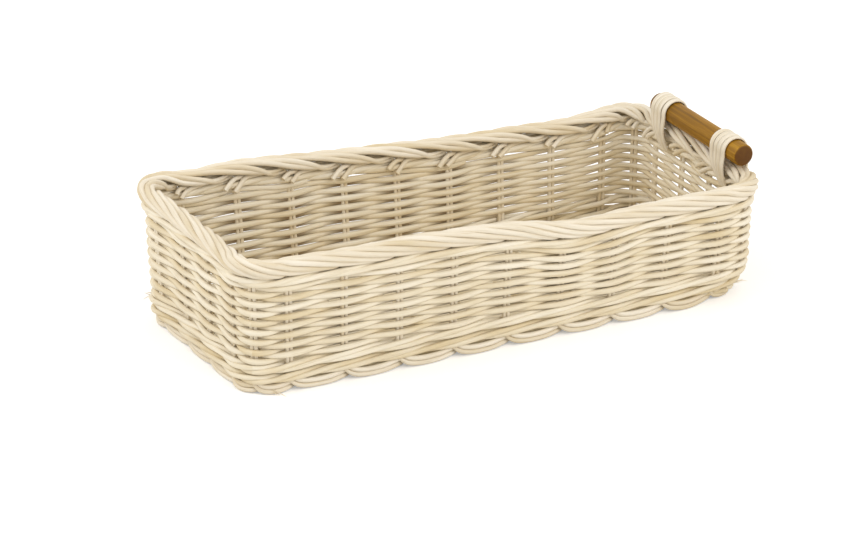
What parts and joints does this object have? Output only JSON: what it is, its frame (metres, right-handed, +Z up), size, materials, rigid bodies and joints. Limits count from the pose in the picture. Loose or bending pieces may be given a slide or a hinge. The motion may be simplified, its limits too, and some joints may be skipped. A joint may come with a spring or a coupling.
{
  "type": "cutlery basket",
  "caption": "Long open cutlery basket woven from pale rattan core, with looped feet, a rolled rim and a round wooden grip bar lashed along one end.",
  "frame": {"origin": "middle of the footprint, on the surface that the foot loops stand on", "axes": "+X runs along the length to the end with the grip bar, +Y from the front wall to the back wall, +Z up"},
  "size_m": [0.3633, 0.1616, 0.0957],
  "materials": {
    "stake_core": "matt, unvarnished rattan core",
    "weave_core": "matt, unvarnished rattan core",
    "base_core": "matt, unvarnished rattan core",
    "bar_wood": "turned wood with a satin brown stain",
    "lashing_cane": "flat oval cane strip, matt with a slight sheen"
  },
  "bodies": {
    "basket": {"stake_01": "stake_core", "stake_02": "stake_core", "stake_03": "stake_core", "stake_04": "stake_core", "stake_05": "stake_core", "stake_06": "stake_core", "stake_07": "stake_core", "stake_08": "stake_core", "stake_09": "stake_core", "stake_10": "stake_core", "stake_11": "stake_core", "stake_12": "stake_core", "stake_13": "stake_core", "stake_14": "stake_core", "stake_15": "stake_core", "stake_16": "stake_core", "stake_17": "stake_core", "stake_18": "stake_core", "stake_19": "stake_core", "stake_20": "stake_core", "stake_21": "stake_core", "stake_22": "stake_core", "stake_23": "stake_core", "stake_24": "stake_core", "stake_25": "stake_core", "stake_26": "stake_core", "stake_27": "stake_core", "stake_28": "stake_core", "stake_29": "stake_core", "stake_30": "stake_core", "weave_row_01": "weave_core", "weave_row_02": "weave_core", "weave_row_03": "weave_core", "weave_row_04": "weave_core", "weave_row_05": "weave_core", "weave_row_06": "weave_core", "weave_row_07": "weave_core", "weave_row_08": "weave_core", "weave_row_09": "weave_core", "weave_row_10": "weave_core", "weave_row_11": "weave_core", "weave_row_12": "weave_core", "weave_row_13": "weave_core", "weave_row_14": "weave_core", "weave_row_15": "weave_core", "weave_row_16": "weave_core", "foot_wale_1_01": "weave_core", "foot_wale_1_02": "weave_core", "foot_wale_1_03": "weave_core", "foot_wale_2_01": "weave_core", "foot_wale_2_02": "weave_core", "foot_wale_2_03": "weave_core", "rim_wale_01": "weave_core", "rim_wale_02": "weave_core", "rim_wale_03": "weave_core", "base_mat": "base_core", "lashing_front": "lashing_cane", "lashing_back": "lashing_cane"},
    "grip": {"grip_bar": "bar_wood"}
  },
  "joints": [
    {"name": "bar_turn", "type": "hinge", "parent": "basket", "child": "grip", "pos_m": [0.17375, -0.004, 0.08632], "axis": [0, 1, 0], "continuous": true}
  ]
}
